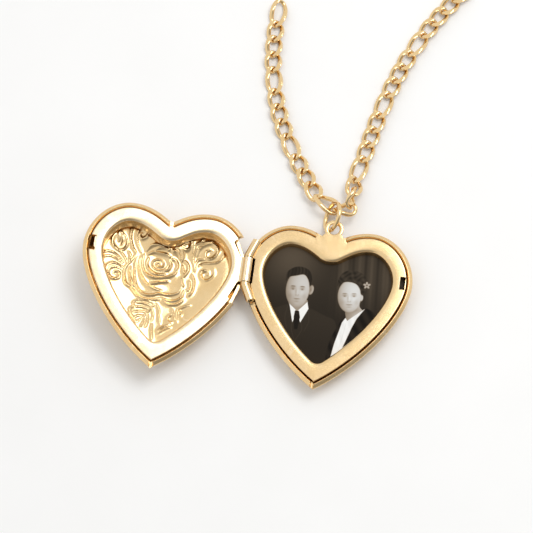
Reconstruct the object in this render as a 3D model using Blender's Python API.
"""Heart photo locket on a figaro chain, opened flat on a table.

Units in this file are millimetres until the last step, which scales to metres.
The origin is the middle of the back shell's flat back face, +Z points up out of
the open locket, +Y runs to the bail and +X runs away from the hinge.
"""

import math

import bmesh
import bpy
import numpy as np
from mathutils import Matrix, Vector

MM = 0.001

# Heart outline of both shells
HALF_WIDTH = 14.5
WIDEST_Y = 5.5
LOBE_X = 6.74
LOBE_Y = 14.23
NOTCH_Y = 11.7
TIP_Y = -14.75
TIP_ANGLE = math.radians(33.0)
TIP_HANDLE = 9.0
SIDE_HANDLE = 6.0
RAY_CENTRE_Y = 1.0
RAYS = 52
FINE = 4

# Hinge line, shared by both halves
HINGE_X = -13.85
FACE_Z = 3.3
REST_TILT = math.radians(7.5)
FACE_GAP = 0.03
FLAT_SIDE = 13.8
SHEET = 0.4
STEP = 0.03
PIN_RADIUS = 0.32
PIN_BORE = 0.37
KNUCKLE_RADIUS = 0.8
SIDE_KNUCKLE_RADIUS = 0.78
KNUCKLE_LOW = 2.8
KNUCKLE_HIGH = 7.26
KNUCKLE_GAP = 0.08
KNUCKLE_LEAD = 0.75
UPPER_END = (-12.95, 10.4)
LOWER_END = (-12.35, -0.4)
TUBE_SIDES = 14

# Frame (bezel) section, as insets from the outline and depths below its face
FRAME_INSET = 1.05
PLATE = 0.35
OPENING_INSET = 3.5
OPENING_TIP_RADIUS = 1.5
FRAME_WALL = 1.12
LIP_DEPTH = 1.2

# Print held under the back frame
PRINT_INSET = 1.5
PRINT_TOP = 2.05
PRINT_THICK = 0.28

# Catch
WINDOW_X = 12.65
WINDOW_Y = 5.8
WINDOW_SIZE = (0.9, 2.3)
STOP_GAP = 0.05
STOP_THICK = 0.22
TONGUE_THICK = 0.22
TONGUE_HEIGHT = 0.62
TONGUE_SIDE_GAP = 0.2

# Bail and jump ring
BAIL_Y = 14.2
BAIL_OUTER = 1.65
BAIL_HOLE = 0.95
TAB_HALF_WIDTH = 1.9
RING_RADIUS = 2.5
RING_WIRE = 0.4
RING_CENTRE = (-0.6, 16.64, 2.62)
RING_TILT = math.radians(60.0)

# Figaro chain links
LINK_WIRE = 0.33
LINK_HALF_WIDTH = 1.16
LINK_TWIST = 0.45
SHORT_HALF = 1.86
LONG_HALF = 2.5
SHORT_REACH = 1.455
LONG_REACH = 2.1
LINK_FLAT = 0.62
CHAIN_Z = 0.68
LINK_STEPS = 16
LINK_SIDES = 6

GOLD = (0.83, 0.6, 0.3)
PALE_GOLD = (0.9, 0.74, 0.48)
PAPER = (0.06, 0.05, 0.045)


def bezier(points, count):
    t = np.linspace(0.0, 1.0, count)[:, None]
    a, b, c, d = (np.array(p, float) for p in points)
    s = 1.0 - t
    return s**3 * a + 3 * s * s * t * b + 3 * s * t * t * c + t**3 * d


def half_outline():
    """Right side of the heart from the notch to the tip."""
    notch = (0.0, NOTCH_Y)
    lobe = (LOBE_X, LOBE_Y)
    side = (HALF_WIDTH, WIDEST_Y)
    tip = (0.0, TIP_Y)
    round_x = 0.53 * (HALF_WIDTH - LOBE_X)
    round_y = 0.53 * (LOBE_Y - WIDEST_Y)
    tip_handle = (TIP_HANDLE * math.cos(TIP_ANGLE), TIP_Y + TIP_HANDLE * math.sin(TIP_ANGLE))
    top = bezier((notch, (1.3, NOTCH_Y), (3.9, LOBE_Y), lobe), 80)
    lobe_arc = bezier((lobe, (LOBE_X + round_x, LOBE_Y), (HALF_WIDTH, WIDEST_Y + round_y), side), 80)
    lower = bezier((side, (HALF_WIDTH, WIDEST_Y - SIDE_HANDLE), tip_handle, tip), 120)
    return np.vstack([top, lobe_arc[1:], lower[1:]])


def even_points(line, count):
    steps = np.linalg.norm(np.diff(line, axis=0), axis=1)
    along = np.concatenate([[0.0], np.cumsum(steps)])
    wanted = np.linspace(0.0, along[-1], count)
    return np.stack([np.interp(wanted, along, line[:, k]) for k in (0, 1)], axis=1)


def heart_outline():
    """Closed outline, evenly spaced, starting at the notch and running clockwise."""
    right = even_points(half_outline(), RAYS * FINE // 2 + 1)
    left = right[-2:0:-1] * (-1.0, 1.0)
    return np.vstack([right, left])


OUTLINE = heart_outline()
CENTRE = np.array([0.0, RAY_CENTRE_Y])
DIRECTIONS = (OUTLINE - CENTRE) / np.linalg.norm(OUTLINE - CENTRE, axis=1)[:, None]


def distance_to(points, loop):
    """Distance from each point to a closed polyline."""
    start = loop[None, :, :]
    edge = np.roll(loop, -1, axis=0)[None, :, :] - start
    offset = points[:, None, :] - start
    share = np.clip((offset * edge).sum(2) / (edge * edge).sum(2), 0.0, 1.0)
    gap = offset - share[:, :, None] * edge
    return np.sqrt((gap * gap).sum(2).min(1))


def inset(loop, amount):
    """Loop moved inwards by an amount, kept on the same rays; negative moves it outwards."""
    radius = np.linalg.norm(loop - CENTRE, axis=1)
    if amount >= 0.0:
        near, far = 0.25 * radius, radius.copy()
    else:
        near, far = radius.copy(), radius + 3.0 * abs(amount)
    for _ in range(28):
        middle = 0.5 * (near + far)
        gap = distance_to(CENTRE + DIRECTIONS * middle[:, None], loop)
        inner = gap > amount if amount >= 0.0 else gap < -amount
        near = np.where(inner, middle, near)
        far = np.where(inner, far, middle)
    return CENTRE + DIRECTIONS * near[:, None]


OPENING = inset(inset(OUTLINE, OPENING_INSET + OPENING_TIP_RADIUS), -OPENING_TIP_RADIUS)


def ring(amount, height, side_limit=None):
    """Heart ring at an inset and height; a limit flattens its hinge side."""
    if amount >= OPENING_INSET - 0.75:
        loop = inset(OPENING, amount - OPENING_INSET)
    else:
        loop = inset(OUTLINE, amount)
    loop = loop[::FINE].copy()
    if side_limit is not None:
        loop[:, 0] = np.maximum(loop[:, 0], -side_limit)
    return [Vector((x, y, height)) for x, y in loop]


def join_rings(bm, first, second):
    count = len(first)
    for k in range(count):
        n = (k + 1) % count
        bm.faces.new((first[k], first[n], second[n], second[k]))


def loft(rings, closed):
    """Skin a run of equal rings; a closed run joins its last ring to its first."""
    bm = bmesh.new()
    made = [[bm.verts.new(p) for p in points] for points in rings]
    for first, second in zip(made, made[1:]):
        join_rings(bm, first, second)
    if closed:
        join_rings(bm, made[-1], made[0])
    else:
        bm.faces.new(made[0])
        bm.faces.new(made[-1])
    return bm


def finish_mesh(bm, name):
    bmesh.ops.recalc_face_normals(bm, faces=bm.faces[:])
    mesh = bpy.data.meshes.new(name)
    bm.to_mesh(mesh)
    bm.free()
    return mesh


def add_object(name, mesh):
    obj = bpy.data.objects.new(name, mesh)
    bpy.context.scene.collection.objects.link(obj)
    return obj


def make(name, bm):
    return add_object(name, finish_mesh(bm, name))


def combine(target, tools, operation):
    """Apply booleans one after another with exact solving, dropping each tool."""
    for tool in tools:
        step = target.modifiers.new("step", "BOOLEAN")
        step.operation = operation
        step.solver = "EXACT"
        step.object = tool
        graph = bpy.context.evaluated_depsgraph_get()
        mesh = bpy.data.meshes.new_from_object(target.evaluated_get(graph))
        target.modifiers.clear()
        target.data = mesh
        bpy.data.objects.remove(tool)


def prism(name, lower, upper, low_z, high_z):
    """Solid between two matching outlines at two heights."""
    bottom = [Vector((x, y, low_z)) for x, y in lower]
    top = [Vector((x, y, high_z)) for x, y in upper]
    return make(name, loft([bottom, top], False))


def box(name, low, high):
    outline = [(low[0], low[1]), (high[0], low[1]), (high[0], high[1]), (low[0], high[1])]
    return prism(name, outline, outline, low[2], high[2])


def circle(centre, across, up, radius, count, turn=0.0):
    angles = [math.tau * (k + turn) / count for k in range(count)]
    return [centre + radius * (math.cos(a) * across + math.sin(a) * up) for a in angles]


def tube(name, path, radius):
    """Solid round bar through path points, its ends square to the end runs."""
    rings = []
    for k, point in enumerate(path):
        before = (point - path[k - 1]).normalized() if k else (path[1] - point).normalized()
        after = (path[k + 1] - point).normalized() if k + 1 < len(path) else before
        along = (before + after).normalized()
        across = along.cross(Vector((0.0, 0.0, 1.0))).normalized()
        stretch = 1.0 / max(0.5, along.dot(before))
        points = []
        for a in range(TUBE_SIDES):
            angle = math.tau * (a + 0.5) / TUBE_SIDES
            side = radius * stretch * math.cos(angle) * across
            points.append(point + side + Vector((0.0, 0.0, radius * math.sin(angle))))
        rings.append(points)
    return make(name, loft(rings, False))


def back_shell():
    inner = FLAT_SIDE - SHEET
    sections = (
        (4.6, SHEET, None), (3.55, 0.6, None), (2.6, 0.98, None), (1.75, 1.48, None),
        (1.12, 2.0, inner), (0.85, 2.35, inner), (0.85, 2.95, inner), (0.74, 3.1, inner + 0.1),
        (0.45, 3.14, FLAT_SIDE - 0.14), (0.14, 3.04, FLAT_SIDE - 0.03), (0.0, 2.76, FLAT_SIDE),
        (0.08, 2.48, FLAT_SIDE), (0.4, 2.28, FLAT_SIDE), (0.75, 1.8, FLAT_SIDE),
        (1.5, 1.12, None), (2.4, 0.58, None), (3.4, 0.2, None), (4.6, 0.0, None),
    )
    shell = make("back_shell", loft([ring(*s) for s in sections], False))
    low = FACE_Z - SIDE_KNUCKLE_RADIUS - 0.12
    side = [(-16, -1.1), (-11.45, -1.1), (-12.45, 2.4), (-12.45, 7.6), (-12.0, 10.7), (-16, 10.7)]
    gap = TAB_HALF_WIDTH + 0.25
    tools = [
        prism("side_cut", side, side, low, FACE_Z + 1.0),
        box("bail_cut", (-gap, 10.0, FACE_Z - 0.5), (gap, 16.0, FACE_Z + 1.0)),
        box("tip_nick", (-0.45, -16.0, FACE_Z - 0.7), (-0.25, -13.2, FACE_Z + 1.0)),
    ]
    combine(shell, tools, "DIFFERENCE")
    return shell


def frame_rings(face_z, down):
    """Upside-down channel: outer wall, flat plate and a rounded lip to the opening."""
    wall = FRAME_INSET + PLATE
    lip = OPENING_INSET
    edge = FRAME_INSET + 0.05
    side = FLAT_SIDE - SHEET - 0.2
    sections = (
        (FRAME_INSET, FRAME_WALL, side), (FRAME_INSET, 0.14, side), (edge, 0.04, side - 0.05),
        (FRAME_INSET + 0.16, 0.0, side - 0.16), (lip - 0.66, 0.0, None), (lip - 0.4, 0.06, None),
        (lip - 0.18, 0.22, None), (lip - 0.04, 0.48, None), (lip, LIP_DEPTH, None),
        (lip - 0.3, LIP_DEPTH, None), (lip - 0.36, 0.66, None), (lip - 0.62, 0.4, None),
        (wall, 0.4, side - PLATE), (wall, FRAME_WALL, side - PLATE),
    )
    return [ring(amount, face_z + down * depth, limit) for amount, depth, limit in sections]


def knuckle_path(start_y, way, end):
    lead = Vector((HINGE_X, start_y, FACE_Z))
    bend = Vector((HINGE_X, start_y + way * KNUCKLE_LEAD, FACE_Z))
    return [lead, bend, Vector((end[0], end[1], FACE_Z))]


def axis_bore(name, low_y, high_y):
    ends = [Vector((HINGE_X, low_y, FACE_Z)), Vector((HINGE_X, high_y, FACE_Z))]
    return tube(name, ends, PIN_BORE)


def bail_tools(face):
    """Ring stamped in one piece with the frame, and the tab that carries it."""
    centre = Vector((0.0, BAIL_Y, face - 0.5 * SHEET))
    east = Vector((1.0, 0.0, 0.0))
    north = Vector((0.0, 1.0, 0.0))
    drop = Vector((0.0, 0.0, 0.5 * SHEET))
    ease = 0.12
    sizes = ((BAIL_OUTER - ease, -1.0), (BAIL_OUTER, -0.4), (BAIL_OUTER, 0.4), (BAIL_OUTER - ease, 1.0))
    disc = [circle(centre + drop * h, east, north, r, 32) for r, h in sizes]
    hole = [circle(centre + drop * h, east, north, BAIL_HOLE, 20) for h in (-1.5, 1.5)]
    low = BAIL_Y - 1.55
    tab = [(-TAB_HALF_WIDTH, 9.9), (TAB_HALF_WIDTH, 9.9), (TAB_HALF_WIDTH, low - 0.45), (1.35, low)]
    tab += [(-1.35, low), (-TAB_HALF_WIDTH, low - 0.45)]
    disc_obj = make("bail_disc", loft(disc, False))
    tab_obj = prism("bail_tab", tab, tab, face - SHEET + STEP, face - 0.5 * STEP)
    return [disc_obj, tab_obj], make("bail_hole", loft(hole, False))


def back_frame():
    face = FACE_Z - FACE_GAP
    frame = make("back_frame", loft(frame_rings(face, -1.0), True))
    slot_low = KNUCKLE_LOW - KNUCKLE_GAP
    slot_high = KNUCKLE_HIGH + KNUCKLE_GAP
    slot = box("slot", (-16.0, slot_low - STEP, 0.0), (-12.6, slot_high + STEP, 6.0))
    combine(frame, [slot], "DIFFERENCE")
    high, low = slot_high + 0.1, slot_low - 0.1
    upper_leaf = [(-13.5, high), (-12.7, 10.3), (-11.4, 9.8), (-12.2, high)]
    lower_leaf = [(-13.5, low), (-12.2, low), (-10.9, 0.2), (-12.1, -0.35)]
    leaf_z = (face - SHEET + STEP, face - 0.5 * STEP)
    knuckles = [
        tube("upper", knuckle_path(slot_high, 1.0, UPPER_END), SIDE_KNUCKLE_RADIUS),
        tube("lower", knuckle_path(slot_low, -1.0, LOWER_END), SIDE_KNUCKLE_RADIUS),
        prism("upper_leaf", upper_leaf, upper_leaf, *leaf_z),
        prism("lower_leaf", lower_leaf, lower_leaf, *leaf_z),
    ]
    combine(frame, knuckles, "UNION")
    west, east = WINDOW_X - 0.5 * WINDOW_SIZE[0], WINDOW_X + 0.5 * WINDOW_SIZE[0]
    south, north = WINDOW_Y - 0.5 * WINDOW_SIZE[1], WINDOW_Y + 0.5 * WINDOW_SIZE[1]
    window = box("window", (west, south, FACE_Z - 0.6), (east, north, FACE_Z + 1.0))
    combine(frame, [window], "DIFFERENCE")
    lip_low = (west - STOP_GAP - STOP_THICK, south, FACE_Z - 0.95)
    lip = box("stop_lip", lip_low, (west - STOP_GAP, north, FACE_Z - 0.2))
    bail, hole = bail_tools(face)
    combine(frame, [lip] + bail, "UNION")
    bore = axis_bore("bore", slot_low - KNUCKLE_LEAD + 0.05, slot_high + KNUCKLE_LEAD - 0.05)
    combine(frame, [hole, bore], "DIFFERENCE")
    return frame


def photo_print():
    rings = [ring(PRINT_INSET, PRINT_TOP - PRINT_THICK), ring(PRINT_INSET, PRINT_TOP)]
    return make("photo_print", loft(rings, False))


def hinge_pin():
    reach = KNUCKLE_GAP + KNUCKLE_LEAD - 0.12
    ends = [Vector((0.0, KNUCKLE_LOW - reach, 0.0)), Vector((0.0, KNUCKLE_HIGH + reach, 0.0))]
    pin = tube("hinge_pin", ends, PIN_RADIUS)
    pin.location = (HINGE_X, 0.0, FACE_Z)
    return pin


def rose_rings(depths, side):
    """Scalloped rings that emboss a rose boss in the middle of the cover's floor."""
    loop = OUTLINE[::FINE]
    angles = np.arctan2(loop[:, 1] - RAY_CENTRE_Y, loop[:, 0])
    rings = []
    for radius, depth, petals in depths:
        size = radius * (1.0 + PETAL_SWELL * np.cos(petals * angles))
        x = ROSE_CENTRE[0] + size * np.cos(angles)
        y = ROSE_CENTRE[1] + size * np.sin(angles)
        rings.append([Vector((a, b, depth + side)) for a, b in zip(x, y)])
    return rings


# Rose rings: radius, depth and number of petals
ROSE_CENTRE = (0.9, 3.7)
PETAL_SWELL = 0.07
ROSE = ((6.0, 4.02, 6), (5.4, 4.36, 6), (4.2, 4.3, 6), (3.7, 4.14, 5), (3.2, 4.42, 5),
        (1.8, 4.24, 5), (1.2, 4.42, 5))


def cover_shell():
    """Cover in its closed place: hinge at -X, depth counted up from the mating plane."""
    inner = FLAT_SIDE - SHEET
    thick = SHEET - 0.05
    sections_in = (
        (5.4, 3.94 - thick, None), (3.55, 3.3 - thick, None), (2.5, 2.72 - thick, None),
        (1.7, 2.04 - thick, None), (1.12, 1.3, inner), (0.85, 0.95, inner), (0.85, 0.35, inner),
        (0.74, 0.2, inner + 0.1), (0.45, 0.16, FLAT_SIDE - 0.14), (0.14, 0.26, FLAT_SIDE - 0.03),
        (0.0, 0.54, FLAT_SIDE), (0.08, 0.82, FLAT_SIDE), (0.4, 1.02, FLAT_SIDE), (0.75, 1.5, FLAT_SIDE),
        (1.4, 2.16, None), (2.3, 2.86, None), (3.4, 3.4, None), (5.4, 3.94, None),
    )
    rings = [ring(*s) for s in sections_in]
    rose_in = rose_rings(reversed(ROSE), -thick)
    rose_out = rose_rings(ROSE, 0.0)
    return rose_in + rings + rose_out


def mirror_to_cover(obj):
    """Turn a closed cover piece about the hinge line to its open resting place."""
    turn = Matrix.Rotation(math.pi + REST_TILT, 4, "Y")
    obj.data.transform(Matrix.Translation((-HINGE_X, 0.0, 0.0)))
    obj.data.transform(turn)
    obj.location = (HINGE_X, 0.0, FACE_Z)


def cover_shell_object():
    shell = make("cover_shell", loft(cover_shell(), False))
    high = SIDE_KNUCKLE_RADIUS + 0.12
    side = [(-16, -1.1), (-11.45, -1.1), (-12.45, 2.4), (-12.45, 7.6), (-12.0, 10.7), (-16, 10.7)]
    tools = [
        prism("side_cut", side, side, -1.0, high),
        box("tip_nick", (-0.1, -16.0, -1.0), (0.1, -13.2, 0.7)),
    ]
    combine(shell, tools, "DIFFERENCE")
    mirror_to_cover(shell)
    return shell


def tongue():
    """Spring tongue beside the cover's catch window, leaning over the window."""
    inner = WINDOW_X - 0.5 * WINDOW_SIZE[0] - 0.12
    low_y = WINDOW_Y - 0.5 * WINDOW_SIZE[1] + TONGUE_SIDE_GAP
    high_y = WINDOW_Y + 0.5 * WINDOW_SIZE[1] - TONGUE_SIDE_GAP
    base = [(inner, low_y), (inner + TONGUE_THICK, low_y), (inner + TONGUE_THICK, high_y), (inner, high_y)]
    lean = 0.42
    top = [(x + lean, y) for x, y in base]
    return prism("tongue", top, base, -TONGUE_HEIGHT, FACE_GAP + PLATE)


def cover_frame():
    frame = make("cover_frame", loft(frame_rings(FACE_GAP, 1.0), True))
    low = KNUCKLE_LOW - KNUCKLE_GAP * 0.5
    high = KNUCKLE_HIGH + KNUCKLE_GAP * 0.5
    upper = [(-16, high), (-12.95, high), (-11.5, 9.7), (-12.4, 10.9), (-16, 10.9)]
    lower = [(-16, low), (-12.95, low), (-11.35, -1.0), (-12.6, -1.3), (-16, -1.3)]
    spread = 0.3
    upper_top = [(x + (spread if x > -13 else 0.0), y) for x, y in upper]
    lower_top = [(x + (spread if x > -13 else 0.0), y) for x, y in lower]
    cuts = [
        prism("upper_cut", upper_top, upper, -0.05, 1.3),
        prism("lower_cut", lower_top, lower, -0.05, 1.3),
        box("window", (WINDOW_X - 0.5 * WINDOW_SIZE[0], WINDOW_Y - 0.5 * WINDOW_SIZE[1], -0.5),
            (WINDOW_X + 0.5 * WINDOW_SIZE[0], WINDOW_Y + 0.5 * WINDOW_SIZE[1], 0.6)),
    ]
    combine(frame, cuts, "DIFFERENCE")
    barrel = [Vector((HINGE_X, KNUCKLE_LOW, 0.0)), Vector((HINGE_X, KNUCKLE_HIGH, 0.0))]
    adds = [
        tube("barrel", barrel, KNUCKLE_RADIUS),
        box("leaf", (HINGE_X + 0.3, KNUCKLE_LOW + STEP, FACE_GAP + 0.5 * STEP),
            (-12.3, KNUCKLE_HIGH - STEP, FACE_GAP + SHEET - STEP)),
        tongue(),
    ]
    combine(frame, adds, "UNION")
    bore = [Vector((HINGE_X, KNUCKLE_LOW - 1.0, 0.0)), Vector((HINGE_X, KNUCKLE_HIGH + 1.0, 0.0))]
    combine(frame, [tube("bore", bore, PIN_BORE)], "DIFFERENCE")
    mirror_to_cover(frame)
    return frame


def jump_ring():
    steps = 28
    sides = 8
    across = Vector((math.cos(RING_TILT), 0.0, math.sin(RING_TILT)))
    north = Vector((0.0, 1.0, 0.0))
    normal = across.cross(north)
    swing = Vector((0.0, BAIL_Y + 1.3, FACE_Z - FACE_GAP - 0.5 * SHEET))
    middle = Vector(RING_CENTRE) - swing
    rings = []
    for k in range(steps):
        angle = math.tau * k / steps
        radial = math.cos(angle) * across + math.sin(angle) * north
        rings.append(circle(middle + RING_RADIUS * radial, radial, normal, RING_WIRE, sides, 0.5))
    obj = make("jump_ring", loft(rings, True))
    obj.location = swing
    return obj


def link_mesh(name, half, reach):
    """Twisted oval link with ground flats; its origin is the joint at its near end."""
    rings = []
    for k in range(LINK_STEPS):
        t = math.tau * k / LINK_STEPS
        place = Vector((half * math.cos(t), LINK_HALF_WIDTH * math.sin(t), LINK_TWIST * math.sin(2 * t)))
        rise = 2 * LINK_TWIST * math.cos(2 * t)
        along = Vector((-half * math.sin(t), LINK_HALF_WIDTH * math.cos(t), rise))
        across = Vector((0.0, 0.0, 1.0)).cross(along).normalized()
        up = along.normalized().cross(across)
        points = circle(place, across, up, LINK_WIRE, LINK_SIDES)
        for p in points:
            p.z = max(-LINK_FLAT, min(LINK_FLAT, p.z))
        rings.append([p + Vector((reach, 0.0, 0.0)) for p in points])
    return finish_mesh(loft(rings, True), name)


def aim(heading, pitch, roll):
    """Rotation that points +X along a heading and pitch, then rolls about it."""
    spin = Matrix.Rotation(math.radians(heading), 3, "Z")
    lift = Matrix.Rotation(-math.radians(pitch), 3, "Y")
    turn = Matrix.Rotation(math.radians(roll), 3, "X")
    return spin @ lift @ turn


# Links close to the jump ring: centre, heading, pitch and roll
RING_LINK = ((-1.93, 19.41, 1.62), 150.0, -2.4, 19.0)
CORNER_LINKS = (
    ((1.31, 18.52, 1.99), 8.4, -0.1, -27.7),
    ((2.18, 20.83, 1.9), 82.0, -1.1, -96.3),
    ((2.33, 23.16, 1.3), 92.2, -13.5, -164.5),
)
LEFT_RUN = ((-3.75, 20.46), (-9.0, 29.0), (-18.0, 38.0), (-14.3, 63.4))
RIGHT_RUN = ((2.28, 24.56), (4.7, 33.0), (5.0, 48.9), (18.6, 64.5))
LEFT_PATTERN = "sssLsssLsssL"
RIGHT_PATTERN = "LsssLsssLsssL"


def walk(curve, pattern, start_z):
    """Place links end to end along a curve, coming down to the table from the start."""
    path = bezier(curve, 600)
    places = []
    here = path[0]
    index = 0
    travelled = 0.0
    for kind in pattern:
        span = 2.0 * (LONG_REACH if kind == "L" else SHORT_REACH)
        while np.linalg.norm(path[index] - here) < span:
            index += 1
        there = path[index]
        fade = max(0.0, 1.0 - travelled / 7.0) ** 2
        fade_next = max(0.0, 1.0 - (travelled + span) / 7.0) ** 2
        z = CHAIN_Z + (start_z - CHAIN_Z) * fade
        z_next = CHAIN_Z + (start_z - CHAIN_Z) * fade_next
        heading = math.degrees(math.atan2(there[1] - here[1], there[0] - here[0]))
        pitch = math.degrees(math.atan2(z_next - z, span))
        places.append((kind, Vector((here[0], here[1], z)), heading, pitch, 0.0))
        here = there
        travelled += span
    return places


def near_joint(centre, heading, pitch, roll, reach):
    return Vector(centre) - aim(heading, pitch, roll) @ Vector((reach, 0.0, 0.0))


def chain_places():
    """Every link as name, kind, joint point and attitude, walking out from the ring."""
    places = []
    centre, heading, pitch, roll = RING_LINK
    places.append(("L", near_joint(centre, heading, pitch, roll, LONG_REACH), heading, pitch, roll))
    places += walk(LEFT_RUN, LEFT_PATTERN, 1.52)
    left = [("link_left_%02d" % (k + 1), *p) for k, p in enumerate(places)]
    right = []
    for centre, heading, pitch, roll in CORNER_LINKS:
        right.append(("s", near_joint(centre, heading, pitch, roll, SHORT_REACH), heading, pitch, roll))
    right += walk(RIGHT_RUN, RIGHT_PATTERN, 0.93)
    return left + [("link_right_%02d" % (k + 1), *p) for k, p in enumerate(right)]


def chain_links():
    meshes = {
        "s": link_mesh("short_link", SHORT_HALF, SHORT_REACH),
        "L": link_mesh("long_link", LONG_HALF, LONG_REACH),
    }
    links = []
    for name, kind, joint, heading, pitch, roll in chain_places():
        obj = add_object(name, meshes[kind])
        obj.matrix_world = Matrix.Translation(joint) @ aim(heading, pitch, roll).to_4x4()
        links.append(obj)
    return links


def material(name, colour, metallic, roughness):
    made = bpy.data.materials.new(name)
    made.use_nodes = True
    shader = made.node_tree.nodes["Principled BSDF"]
    shader.inputs["Base Color"].default_value = (*colour, 1.0)
    shader.inputs["Metallic"].default_value = metallic
    shader.inputs["Roughness"].default_value = roughness
    made.diffuse_color = (*colour, 1.0)
    return made


def dress(obj, made, smooth):
    """Give one object its material; round pieces are shaded smooth up to an angle."""
    obj.data.materials.clear()
    obj.data.materials.append(made)
    for polygon in obj.data.polygons:
        polygon.use_smooth = smooth


def scale_to_metres(objects):
    done = set()
    for obj in objects:
        if obj.data.name not in done:
            obj.data.transform(Matrix.Scale(MM, 4))
            done.add(obj.data.name)
        obj.location = obj.location * MM


def main():
    for obj in list(bpy.data.objects):
        bpy.data.objects.remove(obj)
    locket = [back_shell(), back_frame(), photo_print(), hinge_pin(), cover_shell_object(), cover_frame()]
    finishes = (
        ("shell_gold", GOLD, 1.0, 0.22), ("frame_gold", PALE_GOLD, 1.0, 0.35),
        ("print_paper", PAPER, 0.0, 0.5), ("pin_gold", GOLD, 1.0, 0.25),
        ("cover_gold", GOLD, 1.0, 0.22), ("cover_frame_gold", PALE_GOLD, 1.0, 0.35),
    )
    for obj, finish in zip(locket, finishes):
        dress(obj, material(*finish), obj.name in ("hinge_pin",))
    hanging = jump_ring()
    dress(hanging, material("ring_gold", GOLD, 1.0, 0.2), True)
    links = chain_links()
    chain_gold = material("chain_gold", GOLD, 1.0, 0.2)
    for obj in links:
        dress(obj, chain_gold, True)
    scale_to_metres(locket + [hanging] + links)


main()
